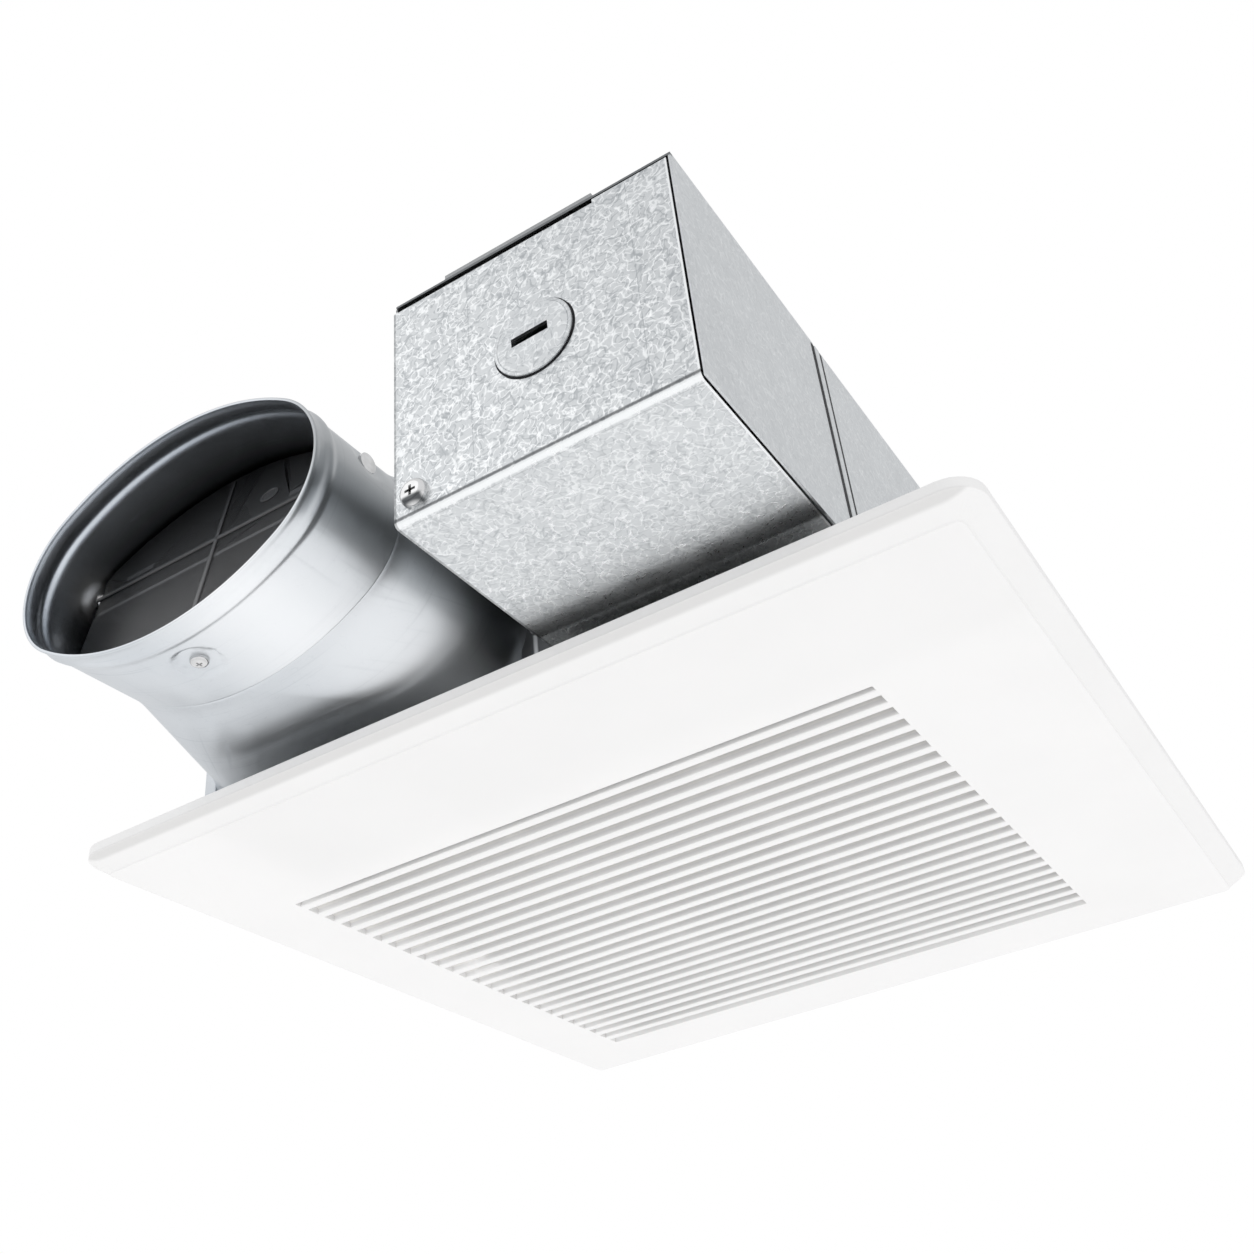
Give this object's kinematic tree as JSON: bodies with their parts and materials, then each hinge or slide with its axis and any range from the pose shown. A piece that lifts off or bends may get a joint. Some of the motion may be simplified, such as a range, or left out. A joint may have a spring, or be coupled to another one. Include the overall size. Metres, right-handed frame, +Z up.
{
  "type": "ceiling exhaust fan",
  "caption": "Square white louvred ceiling exhaust fan with a galvanised housing, wiring compartment, blower and oval duct collar with a backdraft damper.",
  "frame": {"origin": "middle of the square grille on the ceiling plane, where its rim rests", "axes": "+Z up into the ceiling, -Y the way the air leaves through the duct collar, +X towards the side of the wiring compartment"},
  "size_m": [0.33, 0.4003, 0.0954],
  "materials": {
    "galvanised_steel": "spangled zinc coat",
    "zinc_screws": "bright zinc plate",
    "ground_screw_green": "green",
    "damper_steel": "dull grey",
    "white_plastic": "fine satin",
    "black_plastic": "satin",
    "connector_plastic": "moulded",
    "board": "coated board",
    "rotor_steel": "turned",
    "stator_steel": "laminated",
    "copper": "enamelled copper wire",
    "magnet": "sintered",
    "rubber": "dull",
    "spring_steel": "drawn wire"
  },
  "bodies": {
    "fan_body": {"housing": "galvanised_steel", "scroll_wall": "galvanised_steel", "inlet_plate": "galvanised_steel", "casing_screws": "zinc_screws", "adapter_body": "galvanised_steel", "adapter_screws": "zinc_screws", "duct_collar": "galvanised_steel", "damper_stop_screw": "zinc_screws", "damper_stop_nut": "zinc_screws", "wiring_box": "galvanised_steel", "wiring_cover": "galvanised_steel", "cover_screw": "zinc_screws", "ground_screw": "ground_screw_green", "line_connector": "connector_plastic", "driver_board": "board", "driver_cover": "black_plastic", "motor_base": "galvanised_steel", "motor_stator": "stator_steel", "motor_windings": "copper", "motor_bearings": "rotor_steel", "motor_grommets": "rubber", "motor_screws": "zinc_screws", "spring_bracket_left": "galvanised_steel", "spring_bracket_right": "galvanised_steel"},
    "blower_wheel": {"impeller": "black_plastic", "wheel_nut": "zinc_screws", "motor_rotor": "rotor_steel", "rotor_magnet": "magnet", "motor_shaft": "rotor_steel"},
    "damper": {"damper_flap": "damper_steel", "damper_rod": "zinc_screws"},
    "grille_panel": {"grille": "white_plastic", "grille_post_left": "white_plastic", "grille_post_right": "white_plastic", "grille_spring_left": "spring_steel", "grille_spring_right": "spring_steel"}
  },
  "joints": [
    {"name": "impeller_spin", "type": "hinge", "parent": "fan_body", "child": "blower_wheel", "pos_m": [0.015, 0.008, 0.047], "axis": [0, 0, 1], "continuous": true},
    {"name": "damper_swing", "type": "hinge", "parent": "fan_body", "child": "damper", "pos_m": [-0.0554, -0.2095, 0.057], "axis": [-1, 0, 0], "range_deg": [0, 70]},
    {"name": "grille_drop", "type": "slide", "parent": "fan_body", "child": "grille_panel", "axis": [0, 0, -1], "range_m": [0, 0.048], "stiffness_N_per_m": 300, "springref_m": -0.03, "deforming": ["grille_spring_left", "grille_spring_right"]}
  ]
}
